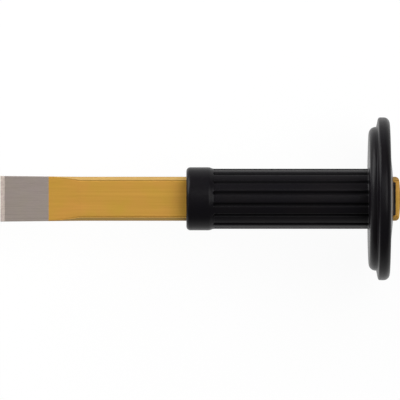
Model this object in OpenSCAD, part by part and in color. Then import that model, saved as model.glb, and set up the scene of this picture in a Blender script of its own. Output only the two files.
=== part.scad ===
// Flat cold chisel with a moulded hand guard.
// The tool lies along +X with its two flats facing +Z and -Z.
// The middle of the cutting edge is the origin, and the struck head is at x = tool_length.
// The forged bar and the guard moulding that is pushed onto it are separate pieces.

/* [Bar] */
// Overall length, from the cutting edge to the crown of the struck head
tool_length = 240; // [200:1:300]
// Width of the rolled bar
bar_width = 26.4; // [22:0.2:30]
// Thickness of the rolled bar
bar_thickness = 7; // [6:0.5:10]
// Width of each long bevel, measured across the flat
bevel_width = 2; // [1.5:0.1:3]
// Depth of each long bevel, measured down from the flat
bevel_depth = 1.05; // [0.6:0.05:1.5]

/* [Cutting end] */
// Length of the end that is ground bare
ground_length = 29; // [20:1:40]
// Thickness of the blade where the ground faces start
ground_thickness = 4.3; // [3.6:0.1:5.5]
// Length of the forged taper between the ground faces and the full bar
forged_taper = 19; // [10:1:35]
// How far each side of the cutting end spreads past the bar
side_spread = 0.5; // [0.1:0.1:1.2]
// Length of each cutting facet, along the tool
facet_length = 2.7; // [1.5:0.1:3.4]
// Angle between the two cutting facets
edge_angle = 60; // [45:1:68]
// Thickness of the narrow land at the cutting edge
edge_land = 0.3; // [0.1:0.1:0.6]

/* [Struck head] */
// Rise of the crown over the head's width
head_crown = 1; // [0.4:0.1:2]
// Radius of the head's corners, seen from the flat side
head_corner_r = 2.2; // [1:0.1:4]
// Radius of the head's edges, seen from the narrow side
head_edge_r = 1.6; // [0.8:0.1:2.5]
// How far the head stands out behind the guard's boss
head_stand_out = 4.6; // [2:0.2:12]

/* [Sleeve] */
// Length of the moulding, from its front end to the boss behind the guard
grip_length = 123.8; // [100:0.2:140]
// Diameter of the plain collar at the front
collar_d = 37.9; // [36.8:0.1:42]
// Length of the collar
collar_length = 13.2; // [8:0.2:20]
// Radius of the collar's front edge
collar_edge_r = 2.4; // [1:0.1:4]
// Length of the cone from the collar down to the ribbed body
shoulder_length = 3.6; // [2:0.2:8]
// Diameter of the ribbed body, over its ribs
body_d = 36.1; // [34:0.1:37.4]
// Clearance between the bar and its channel in the moulding, on each side
channel_clearance = 0.1; // [0.05:0.05:0.3]

/* [Ribs] */
// Number of ribs around the body
rib_count = 16; // [12:1:20]
// Radius of the round-bottomed grooves between the ribs
groove_r = 1.1; // [0.8:0.1:1.6]
// Depth of the grooves
groove_depth = 0.9; // [0.4:0.1:1.4]
// How far a groove runs into the shoulder behind the collar
groove_lead = 1; // [0:0.2:2]
// Plain length between the grooves and the guard
groove_stop = 2; // [1:0.2:6]

/* [Guard] */
// Thickness of the guard from its front face to the foot of its boss
guard_thickness = 13.2; // [11:0.2:20]
// Diameter of the front step
step_d = 86.2; // [70:0.2:92]
// Thickness of the front step
step_thickness = 4.6; // [4.2:0.1:7]
// Radius of the front step's edge
step_edge_r = 4; // [1:0.1:4]
// Radius of the fillet between the body and the guard
root_fillet_r = 1; // [0.5:0.1:4]
// Diameter of the rim
rim_d = 97.8; // [94:0.2:120]
// Angle by which the rim's front face leans back
rim_lean = 10.6; // [0:0.2:20]
// Radius of the rim's front corner
rim_front_r = 1.4; // [0.6:0.1:2]
// Radius of the rim's rear corner
rim_rear_r = 3.6; // [1:0.1:4]
// Angle by which the guard's back falls away from the boss
back_fall = 2.2; // [0.5:0.1:4]

/* [Boss] */
// Diameter of the boss at its foot
boss_foot_d = 56; // [40:1:70]
// Diameter of the flat on top of the boss
boss_top_d = 28; // [28:1:36]
// Height of the boss
boss_rise = 1.2; // [0.5:0.1:5]
// Width of the lug on each flat of the bar
lug_width = 19.4; // [12:0.2:22]
// Thickness of each lug
lug_thickness = 3; // [2:0.1:5]
// Height of each lug above the boss
lug_rise = 1.7; // [0.3:0.1:2.5]
// Corner radius of each lug
lug_corner_r = 1; // [0.5:0.1:1.5]

/* [Hidden] */
$fn = 96;

// Room for a cutting shape to run past the face that it cuts
overrun = 2;

// How far the bevels are carried past the widest part of the blade
bevel_overrun = 1;

// How far the head's round corners and round edges stand out past a smooth join with the crown
corner_ease = 0.1;
edge_ease = 0.3;

// Half sizes of the bar, and of the cutting end
bar_half_w = bar_width / 2;
bar_half_t = bar_thickness / 2;
blade_half_w = bar_half_w + side_spread;
ground_half_t = ground_thickness / 2;
land_half_t = edge_land / 2;
facet_half_t = land_half_t + facet_length * tan(edge_angle / 2);

// Where the blade meets the full bar
taper_end = ground_length + forged_taper;

// Stations of the moulding, along the tool
grip_end = tool_length - head_stand_out;
grip_start = grip_end - grip_length;
collar_end = collar_length;
shoulder_end = collar_end + shoulder_length;
boss_foot = grip_length - boss_rise;
step_front = boss_foot - guard_thickness;
rim_front = step_front + step_thickness;

// Radii of the moulding
collar_r = collar_d / 2;
body_r = body_d / 2;
step_r = step_d / 2;
rim_r = rim_d / 2;
boss_foot_r = boss_foot_d / 2;
boss_top_r = boss_top_d / 2;

// Extrudes an outline drawn in Y and Z along +X
module along_x(length) rotate([90, 0, 90]) linear_extrude(height = length) children();

// Extrudes an outline drawn in X and Z across the tool
module across_y(width) rotate([90, 0, 0]) linear_extrude(height = width, center = true) children();

// Extrudes an outline drawn in X and Y through the tool's thickness
module through_z(height) linear_extrude(height = height, center = true) children();

// Section of the bar, with its four bevels, grown outwards by gap
module bar_section(gap = 0) {
    w = bar_half_w + gap;
    t = bar_half_t + gap;
    polygon([
        [w, t - bevel_depth], [w - bevel_width, t], [bevel_width - w, t], [-w, t - bevel_depth],
        [-w, bevel_depth - t], [bevel_width - w, -t], [w - bevel_width, -t], [w, bevel_depth - t]
    ]);
}

// The bar's flats and bevels, with the bevels carried on past the widest part of the blade
module flats_and_bevels() {
    outer_w = blade_half_w + bevel_overrun;
    inner_w = bar_half_w - bevel_width;
    outer_t = bar_half_t - (outer_w - inner_w) * bevel_depth / bevel_width;
    polygon([
        [outer_w, outer_t], [inner_w, bar_half_t], [-inner_w, bar_half_t], [-outer_w, outer_t],
        [-outer_w, -outer_t], [-inner_w, -bar_half_t], [inner_w, -bar_half_t], [outer_w, -outer_t]
    ]);
}

// Blade outline seen from the flat side, as far as the full bar
module blade_plan() {
    polygon([
        [0, -blade_half_w], [ground_length, -blade_half_w], [taper_end, -bar_half_w],
        [taper_end, bar_half_w], [ground_length, blade_half_w], [0, blade_half_w]
    ]);
}

// Blade outline seen from the narrow side: cutting facets, ground faces and forged taper
module blade_profile() {
    polygon([
        [0, -land_half_t], [facet_length, -facet_half_t], [ground_length, -ground_half_t],
        [taper_end, -bar_half_t], [taper_end, bar_half_t], [ground_length, ground_half_t],
        [facet_length, facet_half_t], [0, land_half_t]
    ]);
}

// Shank and head seen from the flat side: round corners that meet a crown with its top at tool_length
module head_plan() {
    crown_r = (bar_half_w * bar_half_w + head_crown * head_crown) / (2 * head_crown);
    corner_y = bar_half_w - head_corner_r;
    corner_back = crown_r - sqrt(pow(crown_r - head_corner_r, 2) - pow(corner_y, 2)) - corner_ease;
    corner_x = tool_length - corner_back;
    translate([taper_end, -bar_half_w]) square([corner_x - taper_end, bar_width]);
    intersection() {
        translate([tool_length - crown_r, 0]) circle(r = crown_r, $fn = 720);
        union() {
            for (side = [-1, 1]) translate([corner_x, side * corner_y]) circle(r = head_corner_r);
            translate([corner_x - head_corner_r, -corner_y]) square([corner_back + 2 * head_corner_r, 2 * corner_y]);
        }
    }
}

// Shank and head seen from the narrow side: edges rounded over until they meet the crown
module head_profile() {
    edge_x = tool_length + edge_ease - head_edge_r;
    edge_z = bar_half_t - head_edge_r;
    translate([taper_end, -bar_half_t]) square([edge_x - taper_end, bar_thickness]);
    for (face = [-1, 1]) translate([edge_x, face * edge_z]) circle(r = head_edge_r);
    translate([edge_x - head_edge_r, -edge_z]) square([2 * head_edge_r, 2 * edge_z]);
}

// One forging: where the three outlines overlap, the bevels run out by themselves on the taper
module chisel_bar() {
    color([0.72, 0.53, 0.22]) intersection() {
        translate([-overrun, 0, 0]) along_x(tool_length + 2 * overrun) flats_and_bevels();
        through_z(bar_thickness + overrun) {
            blade_plan();
            head_plan();
        }
        across_y(2 * blade_half_w + overrun) {
            blade_profile();
            head_profile();
        }
    }
}

// Outlines of the moulding, drawn as radius and distance from its front end.

// Collar with its rounded front edge, and the cone down to the body
module collar_outline() {
    translate([0, collar_edge_r]) square([collar_r, collar_length - collar_edge_r]);
    square([collar_r - collar_edge_r, collar_length]);
    translate([collar_r - collar_edge_r, collar_edge_r]) circle(r = collar_edge_r);
    polygon([[0, collar_end], [collar_r, collar_end], [body_r, shoulder_end], [0, shoulder_end]]);
}

// Body, with the fillet into the guard's front face
module body_outline() {
    translate([0, collar_end]) square([body_r, boss_foot - collar_end]);
    difference() {
        translate([0, step_front - root_fillet_r]) square([body_r + root_fillet_r, root_fillet_r + step_thickness]);
        translate([body_r + root_fillet_r, step_front - root_fillet_r]) circle(r = root_fillet_r);
    }
}

// Front step of the guard, with its rounded edge
module step_outline() {
    translate([0, step_front]) square([step_r - step_edge_r, guard_thickness]);
    translate([0, step_front + step_edge_r]) square([step_r, step_thickness]);
    translate([step_r - step_edge_r, step_front + step_edge_r]) circle(r = step_edge_r);
}

// Rim and back of the guard: leaning front face, two rounded corners, sloping back and boss
module rim_outline() {
    front_y = rim_front + (rim_front_r + sin(rim_lean) * (rim_r - rim_front_r - step_r)) / cos(rim_lean);
    rear_y = boss_foot - (rim_rear_r + sin(back_fall) * (rim_r - rim_rear_r - boss_foot_r)) / cos(back_fall);
    translate([rim_r - rim_front_r, front_y]) circle(r = rim_front_r);
    translate([rim_r - rim_rear_r, rear_y]) circle(r = rim_rear_r);
    polygon([
        [0, rim_front], [step_r, rim_front],
        [rim_r - rim_front_r + rim_front_r * sin(rim_lean), front_y - rim_front_r * cos(rim_lean)],
        [rim_r, front_y], [rim_r, rear_y],
        [rim_r - rim_rear_r + rim_rear_r * sin(back_fall), rear_y + rim_rear_r * cos(back_fall)],
        [boss_foot_r, boss_foot], [boss_top_r, grip_length], [0, grip_length]
    ]);
}

// One groove between two ribs, with ball ends, drawn along the tool
module groove() {
    start = shoulder_end - groove_lead + groove_r;
    end = step_front - groove_stop - groove_r;
    translate([start, 0, body_r + groove_r - groove_depth]) {
        rotate([0, 90, 0]) cylinder(r = groove_r, h = end - start);
        sphere(r = groove_r);
        translate([end - start, 0, 0]) sphere(r = groove_r);
    }
}

// Lug that bears on one flat of the bar behind the boss
module lug() {
    inner = bar_half_t + channel_clearance;
    translate([grip_length - overrun, 0, inner]) along_x(overrun + lug_rise) {
        translate([-lug_width / 2, 0]) square([lug_width, lug_thickness - lug_corner_r]);
        translate([lug_corner_r - lug_width / 2, 0]) square([lug_width - 2 * lug_corner_r, lug_thickness]);
        for (side = [-1, 1])
            translate([side * (lug_width / 2 - lug_corner_r), lug_thickness - lug_corner_r]) circle(r = lug_corner_r);
    }
}

module hand_guard() {
    color([0.09, 0.09, 0.1]) translate([grip_start, 0, 0]) difference() {
        union() {
            rotate([0, 90, 0]) rotate_extrude() {
                collar_outline();
                body_outline();
                step_outline();
                rim_outline();
            }
            for (face = [0, 1]) mirror([0, 0, face]) lug();
        }
        for (i = [0 : rib_count - 1]) rotate([(i + 0.5) * 360 / rib_count, 0, 0]) groove();
        translate([-overrun, 0, 0]) along_x(grip_length + lug_rise + 2 * overrun) bar_section(channel_clearance);
    }
}

chisel_bar();
hand_guard();
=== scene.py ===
# %% [markdown]
# # A flat chisel with a hand guard
# The tool is two pieces: a forged steel bar, lacquered gold and ground bare at its cutting end, and a
# black rubber moulding that is pushed onto it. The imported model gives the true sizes. This lesson
# dresses it: each piece gets a smooth skin of its own and procedural finishes.

# %% Load the frame
import math
import bpy
import numpy as np
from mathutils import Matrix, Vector


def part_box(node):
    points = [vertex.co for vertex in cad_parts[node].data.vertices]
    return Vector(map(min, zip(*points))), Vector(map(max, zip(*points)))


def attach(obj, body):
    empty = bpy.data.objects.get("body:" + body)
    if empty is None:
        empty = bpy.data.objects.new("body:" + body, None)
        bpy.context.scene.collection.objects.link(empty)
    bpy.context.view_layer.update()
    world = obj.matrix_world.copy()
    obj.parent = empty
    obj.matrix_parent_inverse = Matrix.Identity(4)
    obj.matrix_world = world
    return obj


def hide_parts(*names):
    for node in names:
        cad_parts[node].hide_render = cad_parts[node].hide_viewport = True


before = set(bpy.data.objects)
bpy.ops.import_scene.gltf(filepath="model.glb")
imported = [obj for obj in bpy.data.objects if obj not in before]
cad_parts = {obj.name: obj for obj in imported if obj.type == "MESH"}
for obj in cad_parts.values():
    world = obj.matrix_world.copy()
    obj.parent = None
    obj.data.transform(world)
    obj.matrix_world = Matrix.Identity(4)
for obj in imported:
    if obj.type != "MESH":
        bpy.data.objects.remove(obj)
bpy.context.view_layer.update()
bar_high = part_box("chisel_bar")[1]
guard_low, guard_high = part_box("hand_guard")
MM = 0.001
TOOL_LENGTH = bar_high.x
GRIP_START = guard_low.x
RIM_RADIUS = guard_high.y
print("tool length", round(TOOL_LENGTH, 4), "grip starts at", round(GRIP_START, 4))

# %% [markdown]
# ## The camera
# A tool like this is best shown flat on, without the taper that a near camera gives it. An
# orthographic camera would do that, but a long lens far away keeps a trace of real depth. The camera
# hangs straight above the flat side, and the picture is as wide as the tool is long.

# %% Camera
CAMERA_DISTANCE = 4.5
PICTURE_WIDTH = 0.24
PICTURE_CENTRE = Vector((0.1198, -0.00073, 0.0))
SENSOR = 36.0
FARTHEST_SEEN = 60.0

camera_data = bpy.data.cameras.new("camera")
camera_data.sensor_width = SENSOR
camera_data.lens = SENSOR * CAMERA_DISTANCE / PICTURE_WIDTH
camera_data.clip_end = FARTHEST_SEEN
camera = bpy.data.objects.new("camera", camera_data)
camera.location = PICTURE_CENTRE + Vector((0, 0, CAMERA_DISTANCE))
bpy.context.scene.collection.objects.link(camera)
bpy.context.scene.camera = camera
bpy.context.scene.view_settings.view_transform = "Standard"
print("lens", round(camera_data.lens), "mm")

# %% [markdown]
# ## Rings and skins
# Both pieces are long forms whose section changes slowly. They could be bevelled from rough blocks,
# but then the small roundings would depend on a modifier. Here each form is a stack of rings of
# points, worked out from its sizes, and a skin joins neighbouring rings with four-sided faces. Extra
# rings beside each curve keep the flat parts flat when the faces are shaded smooth.

# %% Stretches of an outline
EASE, LARGEST_INSET, SAME_POINT = 0.3, 0.25, 0.01


def straight(start, end, steps=1, ease=EASE):
    """Points from start to end, with one more point a little way in from each end."""
    start, end = np.array(start, float), np.array(end, float)
    inset = min(ease / np.linalg.norm(end - start), LARGEST_INSET)
    shares = [0, inset, *np.linspace(inset, 1 - inset, steps + 1)[1:-1], 1 - inset, 1]
    return [tuple(start + (end - start) * share) for share in shares]


def arc(centre, radius, first_degrees, last_degrees, steps=8):
    """Points on an arc; 0 degrees points along the tool and 90 points away from its axis."""
    angles = np.radians(np.linspace(first_degrees, last_degrees, steps + 1))
    return [(centre[0] + radius * math.cos(a), centre[1] + radius * math.sin(a)) for a in angles]


def without_doubles(points):
    """The points without those that lie on the one before."""
    kept = [points[0]]
    for point in points[1:]:
        if math.dist(point, kept[-1]) > SAME_POINT:
            kept.append(point)
    return kept


def soft_step(share):
    """From 0 to 1, with a flat start and a flat end."""
    return share * share * (3 - 2 * share)


print("points on an arc:", len(arc((0, 0), 1, 0, 90)))


# %% Skins and marks
def skin(name, rings, closed_tube):
    """Four-sided faces over rings of points. A closed tube joins its last ring to its first."""
    rings = np.array(rings)
    ring_count, point_count = rings.shape[:2]
    index = np.arange(ring_count * point_count).reshape(ring_count, point_count)
    faces = []
    for row in range(ring_count if closed_tube else ring_count - 1):
        here, there = index[row], index[(row + 1) % ring_count]
        corners = np.stack([here, there, np.roll(there, -1), np.roll(here, -1)], axis=1)
        faces.extend(corners.tolist())
    if not closed_tube:
        faces.append(index[0].tolist())
        faces.append(index[-1][::-1].tolist())
    mesh = bpy.data.meshes.new(name)
    mesh.from_pydata(rings.reshape(-1, 3).tolist(), [], faces)
    mesh.validate()
    mesh.shade_smooth()
    piece = bpy.data.objects.new(name, mesh)
    bpy.context.scene.collection.objects.link(piece)
    print(name, "has", len(faces), "faces")
    return piece


def mark_points(piece, label, values):
    """Keeps a value for each point of the mesh, for a finish to read."""
    marks = piece.data.attributes.new(label, "FLOAT", "POINT")
    marks.data.foreach_set("value", np.ravel(values).astype(np.float32))
    print(label, "is marked on", int(np.count_nonzero(values)), "points")


# %% [markdown]
# ## The outline of the moulding
# The hand guard is one piece of soft rubber: a collar, a ribbed body, a stepped guard and a low boss
# behind it, with no sharp edge. A screw modifier could turn it, but its channel and its lugs aren't
# round, so its rings are made in code. The outline is drawn once, as distance along the moulding and
# distance from the axis, in millimetres, from the mouth of the channel to the boss.

# %% Sizes of the moulding
COLLAR_R, BODY_R, STEP_R, RIM_R = 18.95, 18.05, 43.1, RIM_RADIUS / MM
COLLAR_EDGE_R, STEP_EDGE_R, RIM_FRONT_R, RIM_REAR_R = 2.4, 4.0, 1.4, 3.6
COLLAR_LENGTH, SHOULDER_LENGTH = 13.2, 3.6
GRIP_LENGTH, BOSS_RISE, GUARD_THICKNESS, STEP_THICKNESS = 123.8, 1.2, 13.2, 4.6
ROOT_FILLET_R, INNER_FILLET_R = 1.0, 0.5
RIM_LEAN, BACK_FALL = math.radians(10.6), math.radians(2.2)
BOSS_FOOT_R, BOSS_TOP_R = 28.0, 14.0

shoulder_end = COLLAR_LENGTH + SHOULDER_LENGTH
boss_foot = GRIP_LENGTH - BOSS_RISE
step_front = boss_foot - GUARD_THICKNESS
rim_front = step_front + STEP_THICKNESS
print("the guard stands from", round(step_front, 1), "to", round(boss_foot, 1), "mm")

# %% Collar and shoulder
FRONT_BAND, SHOULDER_STEPS = 0.8, 12


def shoulder():
    """The soft step from the collar down to the body."""
    points = []
    for share in np.linspace(0, 1, SHOULDER_STEPS + 1):
        radius = COLLAR_R + (BODY_R - COLLAR_R) * soft_step(share)
        points.append((COLLAR_LENGTH + share * SHOULDER_LENGTH, radius))
    return points


collar_outline = (
    straight((0, COLLAR_R - COLLAR_EDGE_R - FRONT_BAND), (0, COLLAR_R - COLLAR_EDGE_R))
    + arc((COLLAR_EDGE_R, COLLAR_R - COLLAR_EDGE_R), COLLAR_EDGE_R, 180, 90)
    + straight((COLLAR_EDGE_R, COLLAR_R), (COLLAR_LENGTH, COLLAR_R), steps=4)
    + shoulder()
)
print("points of collar and shoulder:", len(collar_outline))

# %% Body
# The grooves run out round at the shoulder, and at the other end they run up to the guard's fillet.
# The close rings of the run-out start under the shoulder, so a narrow strip of skin is folded there.
GROOVE_HALF_WIDTH, GROOVE_DEPTH = 1.5, 1.1
GROOVE_LEAD, RUN_OUT_MARGIN, RUN_OUT_EASE = 1.0, 0.2, 0.1

groove_first = shoulder_end - GROOVE_LEAD + GROOVE_HALF_WIDTH
groove_last = step_front - ROOT_FILLET_R
run_out = GROOVE_HALF_WIDTH + RUN_OUT_MARGIN
body_outline = (
    straight((groove_first - run_out, BODY_R), (groove_first, BODY_R), steps=12, ease=RUN_OUT_EASE)
    + straight((groove_first, BODY_R), (groove_last, BODY_R), steps=6)
    + arc((groove_last, BODY_R + ROOT_FILLET_R), ROOT_FILLET_R, -90, 0)
)
print("grooves run from", round(groove_first, 1), "to", round(groove_last, 1), "mm")


# %% Step and rim
def centre_shift(radius, lean, height):
    """How far the centre of a rounding stands from the foot of a face that leans."""
    return (radius + math.sin(lean) * height) / math.cos(lean)


front_height = RIM_R - RIM_FRONT_R - STEP_R
rear_height = RIM_R - RIM_REAR_R - BOSS_FOOT_R
front_corner = (rim_front + centre_shift(RIM_FRONT_R, RIM_LEAN, front_height), RIM_R - RIM_FRONT_R)
rear_corner = (boss_foot - centre_shift(RIM_REAR_R, BACK_FALL, rear_height), RIM_R - RIM_REAR_R)
inner_corner = (rim_front - INNER_FILLET_R, STEP_R + INNER_FILLET_R)
step_outline = (
    straight((step_front, BODY_R + ROOT_FILLET_R), (step_front, STEP_R - STEP_EDGE_R), steps=4)
    + arc((step_front + STEP_EDGE_R, STEP_R - STEP_EDGE_R), STEP_EDGE_R, 180, 90, steps=12)
    + [(rim_front - INNER_FILLET_R, STEP_R)]
    + arc(inner_corner, INNER_FILLET_R, -90, -math.degrees(RIM_LEAN), steps=5)
)
rim_outline = (
    arc(front_corner, RIM_FRONT_R, 180 - math.degrees(RIM_LEAN), 90)
    + straight((front_corner[0], RIM_R), (rear_corner[0], RIM_R), steps=2)
    + arc(rear_corner, RIM_REAR_R, 90, math.degrees(BACK_FALL), steps=12)
)
print("points of step and rim:", len(step_outline) + len(rim_outline))

# %% Boss and whole outline
BOSS_STEPS, EVEN_SHARE, SOFT_SHARE = 14, 0.6, 0.4


def boss():
    """The back of the guard as it rises to the flat on top of the boss."""
    points = []
    for share in np.linspace(0, 1, BOSS_STEPS + 1):
        rise = EVEN_SHARE * share + SOFT_SHARE * soft_step(share)
        radius = BOSS_FOOT_R + (BOSS_TOP_R - BOSS_FOOT_R) * share
        points.append((boss_foot + BOSS_RISE * rise, radius))
    return points


outline = without_doubles(collar_outline + body_outline + step_outline + rim_outline + boss())
print("outline of the moulding has", len(outline), "points")

# %% [markdown]
# ## Ribs, channel and lugs
# Sixteen soft grooves leave the ribs that the hand holds. Booleans could cut them, but they leave a
# ragged mesh, so points of the rings are moved towards the axis, deepest in the middle of a groove.
# The mouth of the channel has the section of the bar, so the rings near it turn from circles into
# that section. Two low lugs stand beside the bar on the boss.

# %% Directions around the axis
RIB_COUNT = 16
HALF_PITCH = math.pi / RIB_COUNT
# Places across half a pitch, from the middle of a rib to the middle of a groove
PITCH_SHARES = (0, 0.22, 0.42, 0.55, 0.62, 0.68, 0.74, 0.8, 0.86, 0.92, 0.96)

half_angles = [share * HALF_PITCH for share in PITCH_SHARES]
around = []
for rib in range(RIB_COUNT):
    middle = 2 * rib * HALF_PITCH
    around += [middle + a for a in half_angles] + [middle + HALF_PITCH]
    around += [middle + 2 * HALF_PITCH - a for a in reversed(half_angles[1:])]
around = np.array(around)
print("points around the moulding:", len(around))

# %% Section of the channel
BAR_HALF_W, BAR_HALF_T, BEVEL_WIDTH, BEVEL_DEPTH = 13.2, 3.5, 2.0, 1.05
CHANNEL_CLEARANCE = 0.1
SMALLEST = 1e-9
CHANNEL_HALF_W, CHANNEL_HALF_T = BAR_HALF_W + CHANNEL_CLEARANCE, BAR_HALF_T + CHANNEL_CLEARANCE


def channel_reach(angles):
    """Distance from the axis to the wall of the channel, in these directions."""
    across, up = np.abs(np.sin(angles)), np.abs(np.cos(angles))
    slope = BEVEL_DEPTH / BEVEL_WIDTH
    to_side = CHANNEL_HALF_W / np.maximum(across, SMALLEST)
    to_flat = CHANNEL_HALF_T / np.maximum(up, SMALLEST)
    to_bevel = (CHANNEL_HALF_T + slope * (CHANNEL_HALF_W - BEVEL_WIDTH)) / (up + slope * across)
    return np.minimum(np.minimum(to_side, to_flat), to_bevel)


def corner_angles():
    """The directions of the channel's eight corners."""
    side_corner = (CHANNEL_HALF_W, CHANNEL_HALF_T - BEVEL_DEPTH)
    flat_corner = (CHANNEL_HALF_W - BEVEL_WIDTH, CHANNEL_HALF_T)
    first = [math.atan2(y, z) for y, z in (side_corner, flat_corner)]
    return [a for f in first for a in (f, math.pi - f, math.pi + f, 2 * math.pi - f)]


channel_angles = around.copy()
for corner in corner_angles():
    channel_angles[np.argmin(np.abs(channel_angles - corner))] = corner
channel_radii = channel_reach(channel_angles)
channel_y = channel_radii * np.sin(channel_angles)
channel_z = channel_radii * np.cos(channel_angles)
print("channel:", round(2 * channel_y.max(), 1), "by", round(2 * channel_z.max(), 1), "mm")

# %% Rings over the outline
GROOVE_FULLNESS = 0.75


def groove_fall(along, radius):
    """How deep the grooves are at each point of a ring that lies this far along the moulding."""
    offset = np.abs((around / HALF_PITCH) % 2 - 1) * HALF_PITCH * radius
    past_end = max(groove_first - along, along - groove_last, 0)
    distance = np.minimum(np.hypot(offset, past_end) / GROOVE_HALF_WIDTH, 1)
    return GROOVE_DEPTH * (0.5 + 0.5 * np.cos(math.pi * distance)) ** GROOVE_FULLNESS


def is_ribbed(along, radius):
    """Whether this place on the outline belongs to the shoulder, the body or the root fillet."""
    return COLLAR_LENGTH < along < step_front and radius < BODY_R + ROOT_FILLET_R


def ring_points(along, y, z):
    """A ring on the moulding, in metres, from distances in millimetres."""
    x = np.broadcast_to(GRIP_START / MM + along, y.shape)
    return np.stack([x, y, z], axis=1) * MM


def turned_ring(along, radius):
    """A circle around the axis, with the grooves in it where it is ribbed."""
    r = radius - (groove_fall(along, radius) if is_ribbed(along, radius) else 0)
    return ring_points(along, r * np.sin(around), r * np.cos(around))


turned_rings = [turned_ring(along, radius) for along, radius in outline]
print("rings over the outline:", len(turned_rings))

# %% Rings of the ends and the channel
LUG_HALF_WIDTH, LUG_HEIGHT, LUG_RISE, LUG_EDGE = 9.7, 3.1, 1.7, 0.35
FRONT_STEPS, REAR_STEPS, CHANNEL_STEPS = 6, 44, 8


def lug_share(distance, edge):
    """1 within the lug's edge and 0 beyond it, with a soft slope between."""
    return soft_step(np.clip((edge - distance) / LUG_EDGE + 0.5, 0, 1))


def face_rings(along, outer_radius, steps, lug_rise):
    """Rings on a flat end, from the channel's mouth out to a circle."""
    rings = []
    for share in np.linspace(0, 1, steps + 1):
        y = channel_y + (outer_radius * np.sin(around) - channel_y) * share
        z = channel_z + (outer_radius * np.cos(around) - channel_z) * share
        height = lug_share(np.abs(z), BAR_HALF_T + LUG_HEIGHT) * (np.abs(z) > BAR_HALF_T)
        ring = ring_points(along, y, z)
        ring[:, 0] += lug_rise * lug_share(np.abs(y), LUG_HALF_WIDTH) * height * MM
        rings.append(ring)
    return rings


front_rings = face_rings(0, outline[0][1], FRONT_STEPS, lug_rise=0)[:-1]
rear_rings = face_rings(GRIP_LENGTH, outline[-1][1], REAR_STEPS, LUG_RISE)[::-1][1:]
channel_rings = []
for share in np.linspace(1, 0, CHANNEL_STEPS + 1)[1:-1]:
    channel_rings.append(ring_points(GRIP_LENGTH * share, channel_y, channel_z))
print("rings of the ends:", len(front_rings) + len(rear_rings), "of the channel:", len(channel_rings))

# %% Skin of the moulding
all_rings = front_rings + turned_rings + rear_rings + channel_rings
moulding = skin("guard_moulding", all_rings, True)
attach(moulding, "root")
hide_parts("hand_guard")
depths = np.zeros((len(all_rings), len(around)))
for row, (along, radius) in enumerate(outline):
    if is_ribbed(along, radius):
        depths[len(front_rings) + row] = groove_fall(along, radius) / GROOVE_DEPTH
mark_points(moulding, "groove", depths)

# %% [markdown]
# ## The bar
# The bar was forged thinner towards the edge, ground bare on both sides there, and lacquered before
# the guard went on. A bevel modifier would give every edge one width, but here the long bevels run
# out as the bar thins. So its skin is made of cross-sections with eight corners. A section is first
# shrunk by the radius of its corners and then grown again by arcs around them. Where the two corners
# of a bevel meet, their arcs join into one, so the bevel runs out by itself.

# %% Sizes of the bar
GROUND_LENGTH, TAPER_END, SIDE_SPREAD = 29.0, 48.0, 0.5
FACET_LENGTH, EDGE_HALF_T, FACET_HALF_T, GROUND_HALF_T = 2.7, 0.15, 1.709, 2.15
SIDE_R, GROUND_R, FACET_R, KEEN_R, INNER_R = 1.3, 0.4, 0.2, 0.07, 0.25
ROUNDEST_SHARE = 0.6
# Places along the bar, and the thickness and the corners there
ALONG = (0, FACET_LENGTH, GROUND_LENGTH, TAPER_END)
HALF_THICKNESSES = (EDGE_HALF_T, FACET_HALF_T, GROUND_HALF_T, BAR_HALF_T)
CORNER_RADII = (KEEN_R, FACET_R, GROUND_R, SIDE_R)

BEVEL_ANGLE = math.atan2(BEVEL_WIDTH, BEVEL_DEPTH)
normal_y, normal_z = math.cos(BEVEL_ANGLE), math.sin(BEVEL_ANGLE)
bevel_plane = BAR_HALF_W * normal_y + (BAR_HALF_T - BEVEL_DEPTH) * normal_z
print("a bevel faces", round(math.degrees(BEVEL_ANGLE)), "degrees up from the side")


# %% Corners of a section
def arc_points(centre, radius, first_angle, last_angle, steps):
    """Points of y and z on an arc; angle 0 points to the side and a right angle points up."""
    angles = np.linspace(first_angle, last_angle, steps + 1)
    return [(centre[0] + radius * math.cos(a), centre[1] + radius * math.sin(a)) for a in angles]


def corner_centres(half_w, half_t, radius):
    """Centres of a bevel's outer and inner corner, and the inner radius. They join where it ends."""
    inner_r = min(radius, INNER_R)
    corner = (half_w - radius, (bevel_plane - radius - (half_w - radius) * normal_y) / normal_z)
    inner = ((bevel_plane - inner_r - (half_t - inner_r) * normal_z) / normal_y, half_t - inner_r)
    if corner[1] > half_t - radius or inner[0] > corner[0]:
        corner = (half_w - radius, half_t - radius)
        inner, inner_r = corner, radius
    return corner, inner, inner_r


print("outer corner's centre:", np.round(corner_centres(BAR_HALF_W, BAR_HALF_T, SIDE_R)[0], 2))

# %% A quarter of a section
SIDE_SHARES, BEVEL_SHARES = (0, 0.5, 0.9), (0.15, 0.4, 0.65, 0.9)
FLAT_INSETS, FLAT_SHARES = (0.15, 0.3, 0.45, 0.6, 0.8, 1.1), (0.8, 0.6, 0.4, 0.2, 0.0)
CORNER_STEPS, INNER_STEPS = 7, 3
LINE_HALF_WIDTH, LINE_DEPTH, LINE_INSET, LINE_REACH = 0.5, 0.16, 0.6, 0.3
# Which points of the quarter lie on the bevel, and over how many the mark of the side fades
BEVEL_FIRST, BEVEL_LAST, SIDE_FADE, NARROWEST_BEVEL = 8, 16, 2, 0.2


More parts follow.
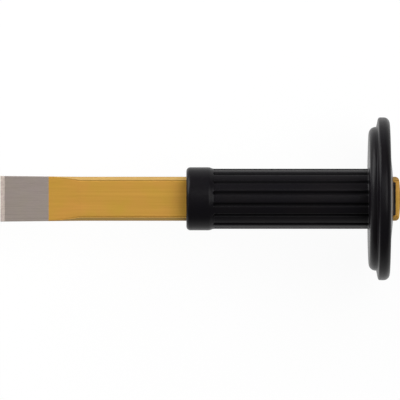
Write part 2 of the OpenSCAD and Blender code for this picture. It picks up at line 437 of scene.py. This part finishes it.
def quarter_points(half_w, half_t, radius):
    """Points of y and z from the side to the middle of the flat, and where the flat starts."""
    corner, inner, inner_r = corner_centres(half_w, half_t, radius)
    points = [(half_w, corner[1] * share) for share in SIDE_SHARES]
    points += arc_points(corner, radius, 0, BEVEL_ANGLE, CORNER_STEPS)
    bevel_end = arc_points(inner, inner_r, BEVEL_ANGLE, math.pi / 2, INNER_STEPS)
    outer_edge, inner_edge = np.array(points[-1]), np.array(bevel_end[0])
    points += [tuple(outer_edge * (1 - share) + inner_edge * share) for share in BEVEL_SHARES]
    points += bevel_end
    points += [(inner[0] - inset, half_t) for inset in FLAT_INSETS]
    points += [(inner[0] * share, half_t) for share in FLAT_SHARES]
    return np.array(points), inner[0]


def quarter_section(x):
    """One quarter of the section, as rows of y, z and the marks of line, bevel and side."""
    half_w = BAR_HALF_W + np.interp(x, (0, TAPER_END), (SIDE_SPREAD, 0))
    half_t = np.interp(x, ALONG, HALF_THICKNESSES)
    radius = min(np.interp(x, ALONG, CORNER_RADII), half_t * ROUNDEST_SHARE)
    bevel_width = np.clip(half_w - (bevel_plane - half_t * normal_z) / normal_y, 0, BEVEL_WIDTH)
    points, flat_start = quarter_points(half_w, half_t, radius)
    place = np.arange(len(points))
    on_bevel = (place >= BEVEL_FIRST) & (place <= BEVEL_LAST) & (bevel_width > NARROWEST_BEVEL)
    on_side = np.clip((BEVEL_FIRST - place) / SIDE_FADE, 0, 1)
    from_line = (points[:, 0] - (flat_start - LINE_HALF_WIDTH * LINE_INSET)) / LINE_HALF_WIDTH
    line = 0.5 + 0.5 * np.cos(math.pi * np.clip(from_line, -1, 1))
    line *= (bevel_width / BEVEL_WIDTH) * (points[:, 1] > half_t - LINE_REACH)
    points[:, 1] -= LINE_DEPTH * line
    return np.column_stack([points, line, on_bevel, on_side])


def whole_section(x):
    """The quarter, mirrored into all four."""
    quarter = quarter_section(x)
    upper_left = quarter[::-1][1:] * (-1, 1, 1, 1, 1)
    lower_left = quarter[1:] * (-1, -1, 1, 1, 1)
    lower_right = quarter[::-1][1:-1] * (1, -1, 1, 1, 1)
    return np.concatenate([quarter, upper_left, lower_left, lower_right])


print("points in a section:", len(whole_section(TAPER_END)))

# %% Struck head
HEAD_CROWN, HEAD_CORNER_R, HEAD_EDGE_R = 1.0, 2.2, 1.6
HEAD_START, HEAD_RINGS, HEAD_CROWDING = 236, 26, 0.8
RIM_SHARE, LOWER_SHARE, SUM_SHARE = 0.999, 0.75, 0.25


def rounding(distance, half_size, radius):
    """How far a rounded edge has fallen at this distance from the middle."""
    past = np.clip((np.abs(distance) - (half_size - radius)) / radius, 0, 1)
    return radius * (1 - np.sqrt(1 - past ** 2))


def head_reach(y, z):
    """How far along the bar the struck head reaches here, crown and rounded rim included."""
    plan = -HEAD_CROWN * (y / BAR_HALF_W) ** 2 - rounding(y, BAR_HALF_W, HEAD_CORNER_R)
    rim = -rounding(z, BAR_HALF_T, HEAD_EDGE_R) * RIM_SHARE
    return TOOL_LENGTH / MM + np.minimum(plan, rim) * LOWER_SHARE + (plan + rim) * SUM_SHARE


end_section = whole_section(HEAD_START)
head_rings = []
for turn in np.linspace(0, 1, HEAD_RINGS)[:-1]:
    share = math.cos(turn * math.pi / 2) ** HEAD_CROWDING
    y, z = end_section[:, 0] * share, end_section[:, 1] * share
    head_rings.append(np.stack([head_reach(y, z), y, z], axis=1) * MM)
print("rings over the head:", len(head_rings))

# %% Skin of the bar
# Sections stand close together beside each edge and far apart on the plain stretches
edge_stations = [0, 0.12, 0.6, 2.1, 2.55, FACET_LENGTH, 2.85, 3.3]
ground_stations = [8, 14, 20, 26, 28.6, 28.85, GROUND_LENGTH, 29.15, 29.5]
taper_stations = [*np.linspace(30, 46, 17), 47, 47.5, TAPER_END, 48.5, 49, 50.5]
shank_stations = [*np.linspace(55, 225, 35), 232, 234, 235.2, HEAD_START]

sections, bar_rings = [], []
for station in edge_stations + ground_stations + taper_stations + shank_stations:
    section = whole_section(station)
    x = np.full(len(section), float(station))
    sections.append(section)
    bar_rings.append(np.stack([x, section[:, 0], section[:, 1]], axis=1) * MM)
bar = skin("forged_bar", bar_rings + head_rings, False)
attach(bar, "root")
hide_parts("chisel_bar")
no_marks = np.zeros((len(head_rings), len(end_section)))
for column, label in enumerate(("bevel line", "bevel", "side"), start=2):
    mark_points(bar, label, np.vstack([*(section[:, column] for section in sections), no_marks]))

# %% [markdown]
# ## Effects that the finishes share
# Steel bar is drawn and ground lengthwise, so fine lines run along it, in the bare metal and through
# the lacquer. All three finishes also drift a little in tone over a few centimetres. Image textures
# could show this, but noise in nodes has no seams and no fixed resolution. Each effect is a node
# group with inputs of its own, so every finish uses the same nodes with other values.

# %% Node helpers
FLOAT, VECTOR = "NodeSocketFloat", "NodeSocketVector"


def group(name, inputs, outputs):
    """An empty node group with sockets, and its input and output nodes."""
    tree = bpy.data.node_groups.new(name, "ShaderNodeTree")
    for label, kind, value in inputs:
        socket = tree.interface.new_socket(label, in_out="INPUT", socket_type=kind)
        if value is not None:
            socket.default_value = value
    for label, kind in outputs:
        tree.interface.new_socket(label, in_out="OUTPUT", socket_type=kind)
    print("group:", name)
    return tree, tree.nodes.new("NodeGroupInput"), tree.nodes.new("NodeGroupOutput")


def node(tree, kind, values=None, **settings):
    """A node with its settings and the values of its sockets."""
    made = tree.nodes.new(kind)
    for label, value in settings.items():
        setattr(made, label, value)
    for label, value in (values or {}).items():
        made.inputs[label].default_value = value
    return made


# %% Lengthwise lines
line_inputs = [("Place", VECTOR, None), ("Lines per metre", FLOAT, 900.0)]
line_inputs += [("Stretch", FLOAT, 40.0), ("Detail", FLOAT, 3.0)]
lines_group, lines_in, lines_out = group("lengthwise lines", line_inputs, [("Line", FLOAT)])
divide = node(lines_group, "ShaderNodeMath", {0: 1.0}, operation="DIVIDE")
join = node(lines_group, "ShaderNodeCombineXYZ", {"Y": 1.0, "Z": 1.0})
squeeze = node(lines_group, "ShaderNodeVectorMath", operation="MULTIPLY")
line_noise = node(lines_group, "ShaderNodeTexNoise", {"Roughness": 0.6})
lines_group.links.new(lines_in.outputs["Stretch"], divide.inputs[1])
lines_group.links.new(divide.outputs[0], join.inputs["X"])
lines_group.links.new(lines_in.outputs["Place"], squeeze.inputs[0])
lines_group.links.new(join.outputs[0], squeeze.inputs[1])
lines_group.links.new(squeeze.outputs[0], line_noise.inputs["Vector"])
lines_group.links.new(lines_in.outputs["Lines per metre"], line_noise.inputs["Scale"])
lines_group.links.new(lines_in.outputs["Detail"], line_noise.inputs["Detail"])
lines_group.links.new(line_noise.outputs["Fac"], lines_out.inputs["Line"])

# %% Slow drift of tone
drift_inputs = [("Place", VECTOR, None), ("Patches per metre", FLOAT, 60.0), ("Contrast", FLOAT, 0.6)]
drift_group, drift_in, drift_out = group("slow drift", drift_inputs, [("Drift", FLOAT)])
drift_noise = node(drift_group, "ShaderNodeTexNoise", {"Detail": 2.0, "Roughness": 0.5})
around_zero = node(drift_group, "ShaderNodeMath", {1: 0.5}, operation="SUBTRACT")
stretch_out = node(drift_group, "ShaderNodeMath", operation="MULTIPLY")
back_to_half = node(drift_group, "ShaderNodeMath", {1: 0.5}, operation="ADD", use_clamp=True)
drift_group.links.new(drift_in.outputs["Place"], drift_noise.inputs["Vector"])
drift_group.links.new(drift_in.outputs["Patches per metre"], drift_noise.inputs["Scale"])
drift_group.links.new(drift_noise.outputs["Fac"], around_zero.inputs[0])
drift_group.links.new(around_zero.outputs[0], stretch_out.inputs[0])
drift_group.links.new(drift_in.outputs["Contrast"], stretch_out.inputs[1])
drift_group.links.new(stretch_out.outputs[0], back_to_half.inputs[0])
drift_group.links.new(back_to_half.outputs[0], drift_out.inputs["Drift"])


# %% Start of a finish
def finish(name):
    """A new material with its nodes, its shader and the place on the object, in metres."""
    material = bpy.data.materials.new(name)
    material.use_nodes = True
    tree = material.node_tree
    place = node(tree, "ShaderNodeTexCoord").outputs["Object"]
    print("finish:", name)
    return material, tree, tree.nodes["Principled BSDF"], place


def lengthwise_lines(tree, place, per_metre, stretch, detail):
    """The group of lines, placed in a finish."""
    values = {"Lines per metre": per_metre, "Stretch": stretch, "Detail": detail}
    placed = node(tree, "ShaderNodeGroup", values, node_tree=lines_group)
    tree.links.new(place, placed.inputs["Place"])
    return placed.outputs["Line"]


def slow_drift(tree, place, per_metre, contrast):
    """The group of drift, placed in a finish."""
    values = {"Patches per metre": per_metre, "Contrast": contrast}
    placed = node(tree, "ShaderNodeGroup", values, node_tree=drift_group)
    tree.links.new(place, placed.inputs["Place"])
    return placed.outputs["Drift"]


# %% Colours and values over a surface
def blend_colours(tree, share, first, second):
    """A colour between two, each of them a plain colour or what another node gives."""
    mix = node(tree, "ShaderNodeMix", data_type="RGBA")
    for socket, colour in ((mix.inputs["A"], first), (mix.inputs["B"], second)):
        if isinstance(colour, tuple):
            socket.default_value = (*colour, 1)
        else:
            tree.links.new(colour, socket)
    tree.links.new(share, mix.inputs["Factor"])
    return mix.outputs["Result"]


def spread(tree, value, low, high, first=0.0, last=1.0):
    """Maps a value that runs from first to last onto low to high."""
    ends = {"From Min": first, "From Max": last, "To Min": low, "To Max": high}
    span = node(tree, "ShaderNodeMapRange", ends)
    tree.links.new(value, span.inputs["Value"])
    return span.outputs["Result"]


def mark(tree, label):
    """A value that was kept for each point of the mesh."""
    return node(tree, "ShaderNodeAttribute", attribute_name=label).outputs["Fac"]


def raise_by(tree, shader, height, distance, strength):
    """Lets light fall as if the surface stood out where the height is large."""
    bump = node(tree, "ShaderNodeBump", {"Distance": distance, "Strength": strength})
    tree.links.new(height, bump.inputs["Height"])
    tree.links.new(bump.outputs["Normal"], shader.inputs["Normal"])


# %% [markdown]
# ## Rubber
# The moulding is soft black rubber with a dry, satin skin: nearly black, with a faint cool or warm
# drift, and a fine grain that breaks up the shine. A plain glossy black would look like hard plastic,
# so the specular level is low. The grooves are duller than the ribs, and darker by painted shade.

# %% Rubber
COOL_BLACK = (0.0030, 0.0026, 0.0042)
WARM_BLACK = (0.0052, 0.0042, 0.0048)
# Painted shade: the colour that the bottom of a groove turns to
GROOVE_SHADE_BLACK = (0.0012, 0.0010, 0.0014)

rubber, tree, shader, place = finish("guard_rubber")
shader.inputs["Specular IOR Level"].default_value = 0.1
drift = slow_drift(tree, place, per_metre=45.0, contrast=1.5)
tone = blend_colours(tree, drift, COOL_BLACK, WARM_BLACK)
deep = spread(tree, mark(tree, "groove"), low=0.0, high=0.9, first=0.1, last=0.8)
# Painted shade: the base colour darkens towards the bottom of each groove, where shade falls
tree.links.new(blend_colours(tree, deep, tone, GROOVE_SHADE_BLACK), shader.inputs["Base Color"])
grain = node(tree, "ShaderNodeTexNoise", {"Scale": 2600.0, "Detail": 2.0})
tree.links.new(place, grain.inputs["Vector"])
satin = spread(tree, grain.outputs["Fac"], low=0.26, high=0.35, first=0.3, last=0.7)
rough = node(tree, "ShaderNodeMath", operation="MAXIMUM")
tree.links.new(satin, rough.inputs[0])
tree.links.new(spread(tree, deep, low=0.3, high=0.95), rough.inputs[1])
tree.links.new(rough.outputs[0], shader.inputs["Roughness"])
raise_by(tree, shader, grain.outputs["Fac"], distance=0.00012, strength=0.35)
moulding.data.materials.append(rubber)

# %% [markdown]
# ## Bare steel
# The cutting end was ground lengthwise on a belt, so it is grey metal with fine lines along it.
# Anisotropy could stretch its shine, but it shows no single line. Here the lines change colour,
# roughness and height together, and the tone drifts between a cool and a warm grey.

# %% Bare steel
COOL_DARK, COOL_LIGHT = (0.22, 0.180, 0.170), (0.60, 0.505, 0.480)
WARM_DARK, WARM_LIGHT = (0.22, 0.190, 0.160), (0.60, 0.520, 0.445)

steel, tree, shader, place = finish("ground_steel")
shader.inputs["Metallic"].default_value = 1.0
lines = lengthwise_lines(tree, place, per_metre=900.0, stretch=45.0, detail=4.0)
cool = blend_colours(tree, lines, COOL_DARK, COOL_LIGHT)
warm = blend_colours(tree, lines, WARM_DARK, WARM_LIGHT)
drift = slow_drift(tree, place, per_metre=110.0, contrast=1.4)
tree.links.new(blend_colours(tree, drift, cool, warm), shader.inputs["Base Color"])
sheen = spread(tree, lines, low=0.5, high=0.36, first=0.3, last=0.7)
tree.links.new(sheen, shader.inputs["Roughness"])
raise_by(tree, shader, lines, distance=0.00006, strength=0.5)

# %% [markdown]
# ## Gold lacquer
# The lacquer is a thin gold coat over drawn bar, partly clear: the lines of the bar show through. Its
# colour is paler on the bevels, a painted highlight, and darker on the sides and in the corner beside
# each bevel, painted shade. A clear coat with a sharp shine would look wet, so it is one partly
# metallic layer with a broad, dull shine, and the marks on the mesh say where its tone changes.

# %% Gold lacquer
OLIVE_DARK, OLIVE_LIGHT = (0.38, 0.215, 0.022), (0.58, 0.340, 0.048)
ORANGE_DARK, ORANGE_LIGHT = (0.43, 0.200, 0.032), (0.64, 0.315, 0.066)
# The bevel colour is a painted highlight; the line and side colours are painted shade
BEVEL_HIGHLIGHT_GOLD, LINE_SHADE_GOLD, SIDE_SHADE_GOLD = (0.46, 0.31, 0.11), (0.26, 0.13, 0.018), (0.27, 0.135, 0.012)

lacquer, tree, shader, place = finish("lacquered_steel")
shader.inputs["Metallic"].default_value = 0.35
shader.inputs["Specular IOR Level"].default_value = 0.25
lines = lengthwise_lines(tree, place, per_metre=420.0, stretch=45.0, detail=3.0)
olive = blend_colours(tree, lines, OLIVE_DARK, OLIVE_LIGHT)
orange = blend_colours(tree, lines, ORANGE_DARK, ORANGE_LIGHT)
drift = slow_drift(tree, place, per_metre=70.0, contrast=1.8)
gold = blend_colours(tree, drift, olive, orange)
# Painted highlight: the bevels are paler, as if a sheen lay on them
bevel_highlighted = blend_colours(tree, spread(tree, mark(tree, "bevel"), low=0.0, high=0.7), gold, BEVEL_HIGHLIGHT_GOLD)
# Painted shade: the corner beside each bevel is darker, where the small groove lies in shade
on_line = spread(tree, mark(tree, "bevel line"), low=0.0, high=0.5)
line_shaded = blend_colours(tree, on_line, bevel_highlighted, LINE_SHADE_GOLD)
# Painted shade: the sides of the bar are darker than the flats
side_shaded = blend_colours(tree, spread(tree, mark(tree, "side"), low=0.0, high=0.75), line_shaded, SIDE_SHADE_GOLD)
tree.links.new(side_shaded, shader.inputs["Base Color"])
sheen = spread(tree, lines, low=0.5, high=0.4, first=0.3, last=0.7)
tree.links.new(sheen, shader.inputs["Roughness"])
raise_by(tree, shader, lines, distance=0.00008, strength=0.4)

# %% [markdown]
# ## Where the lacquer ends
# Grinding took the lacquer off the cutting end along a clean line. A mask in the nodes could show
# that, but a ring of the mesh already lies on the line, so each face simply gets one of two finishes.

# %% Two finishes on one bar
bar.data.materials.append(lacquer)
bar.data.materials.append(steel)
ground_faces = [face for face in bar.data.polygons if face.center.x < GROUND_LENGTH * MM]
for face in ground_faces:
    face.material_index = 1
print("ground faces:", len(ground_faces))

# %% [markdown]
# ## Floor
# The tool lies over a plain pale floor, just under the rim. More light would make a grey floor white
# but would wash out the tool. So most of the floor is emission, which only the camera and reflections
# see, and the rest is diffuse and still takes the soft shadow of the tool.

# %% Floor
FLOOR_HALF, FLOOR_GAP = 12.0, 0.0002

floor_mesh = bpy.data.meshes.new("floor")
corners = [(-FLOOR_HALF, -FLOOR_HALF, 0), (FLOOR_HALF, -FLOOR_HALF, 0)]
corners += [(FLOOR_HALF, FLOOR_HALF, 0), (-FLOOR_HALF, FLOOR_HALF, 0)]
floor_mesh.from_pydata(corners, [], [(0, 1, 2, 3)])
floor = bpy.data.objects.new("floor", floor_mesh)
floor.location = (TOOL_LENGTH / 2, 0, guard_low.z - FLOOR_GAP)
bpy.context.scene.collection.objects.link(floor)
print("floor at", round(floor.location.z, 4))

# %% Floor finish
FLOOR_COLOUR, WHITE_SHARE = (0.9, 0.9, 0.9, 1), 0.93

floor_finish = bpy.data.materials.new("floor_finish")
floor_finish.use_nodes = True
tree = floor_finish.node_tree
tree.nodes.clear()
output = node(tree, "ShaderNodeOutputMaterial")
diffuse = node(tree, "ShaderNodeBsdfDiffuse", {"Color": FLOOR_COLOUR})
white = node(tree, "ShaderNodeEmission", {"Strength": 1.0})
path = node(tree, "ShaderNodeLightPath")
shown = node(tree, "ShaderNodeMath", operation="MAXIMUM")
shown_through = node(tree, "ShaderNodeMath", operation="MAXIMUM")
share = node(tree, "ShaderNodeMath", {1: WHITE_SHARE}, operation="MULTIPLY")
mix = node(tree, "ShaderNodeMixShader")
tree.links.new(path.outputs["Is Camera Ray"], shown.inputs[0])
tree.links.new(path.outputs["Is Glossy Ray"], shown.inputs[1])
tree.links.new(shown.outputs[0], shown_through.inputs[0])
tree.links.new(path.outputs["Is Transmission Ray"], shown_through.inputs[1])
tree.links.new(shown_through.outputs[0], share.inputs[0])
tree.links.new(share.outputs[0], mix.inputs["Fac"])
tree.links.new(diffuse.outputs[0], mix.inputs[1])
tree.links.new(white.outputs[0], mix.inputs[2])
tree.links.new(mix.outputs[0], output.inputs["Surface"])
floor_mesh.materials.append(floor_finish)
print("white share of the floor:", WHITE_SHARE)

# %% [markdown]
# ## Light
# Soft light shows both rubber and metal. A bright world alone would leave the bar flat, and a small
# lamp would glare on a rib, so wide softboxes are used. The key stands to one side, low enough to
# graze the flat, so that the bevel on its side shines and the other falls dark. The head light
# reaches the bar behind the guard from above, and a faint one at the cutting end lights the facet.

# %% World
WORLD_LEVEL = 0.3

world = bpy.data.worlds.new("studio")
world.use_nodes = True
bpy.context.scene.world = world
background = world.node_tree.nodes["Background"]
background.inputs["Color"].default_value = (1, 1, 1, 1)
background.inputs["Strength"].default_value = WORLD_LEVEL
print("world level:", WORLD_LEVEL)

# %% Softboxes
TOOL_MIDDLE = Vector((TOOL_LENGTH / 2, 0, 0))


def softbox(name, place, width, height, power):
    """A wide lamp that faces the middle of the tool and isn't seen by the camera."""
    data = bpy.data.lights.new(name, "AREA")
    data.shape = "RECTANGLE"
    data.size, data.size_y = width, height
    data.energy = power
    lamp = bpy.data.objects.new(name, data)
    lamp.location = place
    lamp.rotation_euler = (TOOL_MIDDLE - Vector(place)).to_track_quat("-Z", "Y").to_euler()
    lamp.visible_camera = False
    bpy.context.scene.collection.objects.link(lamp)
    print("lamp:", name)


softbox("key", (-0.85, 0.95, 0.42), width=1.4, height=1.2, power=34)
softbox("head_light", (0.75, 0.3, 1.2), width=1.2, height=0.9, power=11)
softbox("end_light", (-0.9, -0.2, 0.5), width=0.6, height=0.5, power=0.9)
